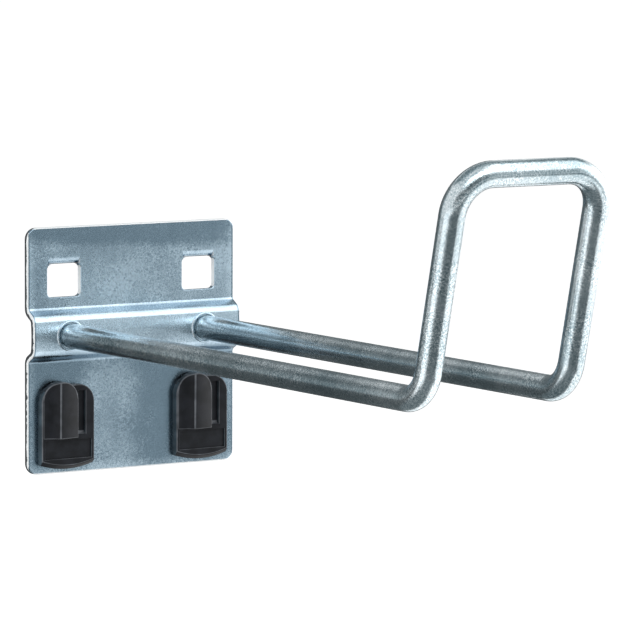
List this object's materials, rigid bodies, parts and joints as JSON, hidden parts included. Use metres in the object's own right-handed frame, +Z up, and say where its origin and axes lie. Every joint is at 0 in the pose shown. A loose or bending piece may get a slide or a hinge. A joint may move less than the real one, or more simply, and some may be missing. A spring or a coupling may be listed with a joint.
{
  "type": "pegboard hook",
  "caption": "Zinc-plated wire loop hook on a ridged steel back plate with folded lugs and snap-in plastic locking clips for a square-hole tool panel.",
  "frame": {"origin": "on the back face of the plate, midway between the two lugs and level with their undersides", "axes": "+X along the wall, to the right when facing the wall; +Y into the wall, so the hook stands out along -Y; +Z up"},
  "size_m": [0.0584, 0.1777, 0.0868],
  "materials": {
    "zinc_sheet": "zinc-plated, mottled satin",
    "zinc_wire": "zinc-plated, bright satin",
    "black_plastic": "fine satin"
  },
  "bodies": {
    "root": {"back_plate": "zinc_sheet", "wire_loop": "zinc_wire", "clip_left": "black_plastic", "clip_right": "black_plastic"}
  },
  "joints": []
}
